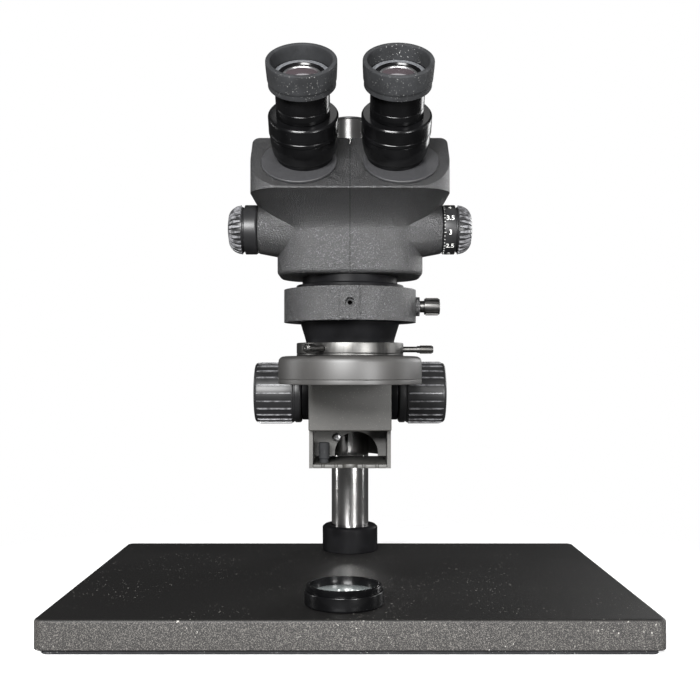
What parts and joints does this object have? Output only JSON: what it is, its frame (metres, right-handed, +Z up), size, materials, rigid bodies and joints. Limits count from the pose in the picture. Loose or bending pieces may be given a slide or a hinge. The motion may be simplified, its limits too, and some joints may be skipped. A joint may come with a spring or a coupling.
{
  "type": "stereo microscope",
  "caption": "Zoom stereo microscope with inclined twin eye tubes, ring light and focus rack on a column stand with a wide base plate.",
  "frame": {"origin": "middle of the flat underside of the base mat", "axes": "+Z up, -Y towards the user, +X to the user's right; the width lies along X"},
  "size_m": [0.4, 0.3174, 0.397],
  "materials": {
    "black_paint": "fine wrinkle-texture black paint on cast metal",
    "grey_paint": "dark grey textured paint on the focus castings",
    "chrome": "bright chromed steel",
    "steel": "turned and ground steel",
    "brass": "turned brass",
    "aluminium": "machined aluminium",
    "black_anodised": "gloss black anodised aluminium",
    "black_plastic": "semi-gloss black moulded plastic",
    "rubber": "matte dark grey rubber",
    "glass": "coated optical glass",
    "diffuser": "frosted white plastic"
  },
  "bodies": {
    "stand": {"base_mat": "rubber", "base_plate": "black_paint", "column_bolt": "steel", "column": "chrome", "column_cap": "black_plastic", "column_collar": "black_anodised"},
    "lift": {"column_bush": "brass"},
    "arm": {"focus_body": "grey_paint", "body_floor": "grey_paint", "stop_post": "rubber", "stop_screw": "steel", "guide_rail_left": "steel", "guide_rail_right": "steel", "shaft_flange_left": "black_anodised", "shaft_flange_right": "black_anodised"},
    "clamp": {"clamp_knob": "black_plastic"},
    "slider": {"slider_block": "grey_paint", "slide_way": "aluminium", "focus_rack": "steel", "head_holder": "black_paint"},
    "focus": {"focus_shaft": "steel", "focus_knob_left": "black_plastic", "focus_knob_right": "black_plastic"},
    "holder_clamp": {"holder_screw": "chrome"},
    "head": {"head_shell_left": "black_paint", "head_shell_right": "black_paint", "head_neck": "black_anodised", "objective_cone": "black_anodised", "objective_lens": "glass", "guide_rod_left": "steel", "guide_rod_right": "steel"},
    "zoom": {"zoom_shaft": "steel", "zoom_knob_left": "black_plastic", "zoom_knob_right": "black_plastic"},
    "zoom_lenses": {"zoom_carrier": "aluminium", "zoom_lens_left": "glass", "zoom_lens_right": "glass"},
    "left_eye": {"left_turret": "black_anodised", "left_eye_tube": "black_anodised", "left_prism": "glass"},
    "right_eye": {"right_turret": "black_anodised", "right_eye_tube": "black_anodised", "right_prism": "glass"},
    "left_diopter": {"left_diopter_ring": "black_anodised"},
    "right_diopter": {"right_diopter_ring": "black_anodised"},
    "left_ocular": {"left_eyepiece": "black_anodised", "left_eye_lens": "glass", "left_eyecup": "rubber"},
    "right_ocular": {"right_eyepiece": "black_anodised", "right_eye_lens": "glass", "right_eyecup": "rubber"},
    "ring_light": {"light_housing": "black_plastic", "light_diffuser": "diffuser", "light_adapter": "chrome"},
    "light_clamp_1": {"light_screw_1": "chrome"},
    "light_clamp_2": {"light_screw_2": "chrome"},
    "light_clamp_3": {"light_screw_3": "chrome"},
    "aux_lens": {"aux_lens_ring": "black_anodised", "aux_lens_glass": "glass"}
  },
  "joints": [
    {"name": "arm_height", "type": "slide", "parent": "stand", "child": "lift", "axis": [0, 0, 1], "range_m": [-0.05, 0.15]},
    {"name": "arm_swivel", "type": "hinge", "parent": "lift", "child": "arm", "pos_m": [0, 0.104, 0.17], "axis": [0, 0, 1], "continuous": true},
    {"name": "clamp_turn", "type": "hinge", "parent": "arm", "child": "clamp", "pos_m": [0.033, 0.104, 0.17], "axis": [1, 0, 0], "range_deg": [-180, 180]},
    {"name": "focus_travel", "type": "slide", "parent": "arm", "child": "slider", "axis": [0, 0, 1], "range_m": [-0.022, 0.022]},
    {"name": "focus_turn", "type": "hinge", "parent": "arm", "child": "focus", "pos_m": [0, 0.01, 0.162], "axis": [1, 0, 0], "range_deg": [-228, 228]},
    {"name": "holder_screw_turn", "type": "hinge", "parent": "slider", "child": "holder_clamp", "pos_m": [0.05, -0.0785, 0.223], "axis": [1, 0, 0], "range_deg": [-180, 180]},
    {"name": "head_turn", "type": "hinge", "parent": "slider", "child": "head", "pos_m": [0, -0.0785, 0.234], "axis": [0, 0, 1], "continuous": true},
    {"name": "zoom_turn", "type": "hinge", "parent": "head", "child": "zoom", "pos_m": [0, -0.0897, 0.274], "axis": [1, 0, 0], "range_deg": [-135, 135]},
    {"name": "zoom_lens_travel", "type": "slide", "parent": "head", "child": "zoom_lenses", "axis": [0, 0, 1], "range_m": [-0.0113, 0.0113]},
    {"name": "left_eye_swing", "type": "hinge", "parent": "head", "child": "left_eye", "pos_m": [-0.0325, -0.12295, 0.31255], "axis": [0, -0.7071, 0.7071], "range_deg": [-20.5, 92]},
    {"name": "right_eye_swing", "type": "hinge", "parent": "head", "child": "right_eye", "pos_m": [0.0325, -0.12295, 0.31255], "axis": [0, -0.7071, 0.7071], "range_deg": [-92, 20.5]},
    {"name": "left_diopter_turn", "type": "hinge", "parent": "left_eye", "child": "left_diopter", "pos_m": [-0.029, -0.11951, 0.31599], "axis": [0, -0.7071, 0.7071], "range_deg": [-180, 180]},
    {"name": "right_diopter_turn", "type": "hinge", "parent": "right_eye", "child": "right_diopter", "pos_m": [0.029, -0.11951, 0.31599], "axis": [0, -0.7071, 0.7071], "range_deg": [-180, 180]},
    {"name": "left_eyepiece_lift", "type": "slide", "parent": "left_diopter", "child": "left_ocular", "axis": [0, -0.7071, 0.7071], "range_m": [0, 0.03]},
    {"name": "right_eyepiece_lift", "type": "slide", "parent": "right_diopter", "child": "right_ocular", "axis": [0, -0.7071, 0.7071], "range_m": [0, 0.03]},
    {"name": "ring_light_drop", "type": "slide", "parent": "head", "child": "ring_light", "axis": [0, 0, -1], "range_m": [0, 0.025]},
    {"name": "light_screw_turn_1", "type": "hinge", "parent": "ring_light", "child": "light_clamp_1", "pos_m": [0.047, -0.0785, 0.19365], "axis": [1, 0, 0], "range_deg": [-180, 180]},
    {"name": "light_screw_turn_2", "type": "hinge", "parent": "ring_light", "child": "light_clamp_2", "pos_m": [-0.0235, -0.0378, 0.19365], "axis": [-0.5, 0.866, 0], "range_deg": [-180, 180]},
    {"name": "light_screw_turn_3", "type": "hinge", "parent": "ring_light", "child": "light_clamp_3", "pos_m": [-0.0235, -0.1192, 0.19365], "axis": [-0.5, -0.866, 0], "range_deg": [-180, 180]},
    {"name": "aux_lens_lift", "type": "slide", "parent": "stand", "child": "aux_lens", "axis": [0, 0, 1], "range_m": [0, 0.03]}
  ],
  "couplings": [
    {"joint": "focus_turn", "follows": "focus_travel", "rad_per_m": -178.57},
    {"joint": "zoom_turn", "follows": "zoom_lens_travel", "rad_per_m": 208.33},
    {"joint": "right_eye_swing", "follows": "left_eye_swing", "ratio": -1}
  ]
}
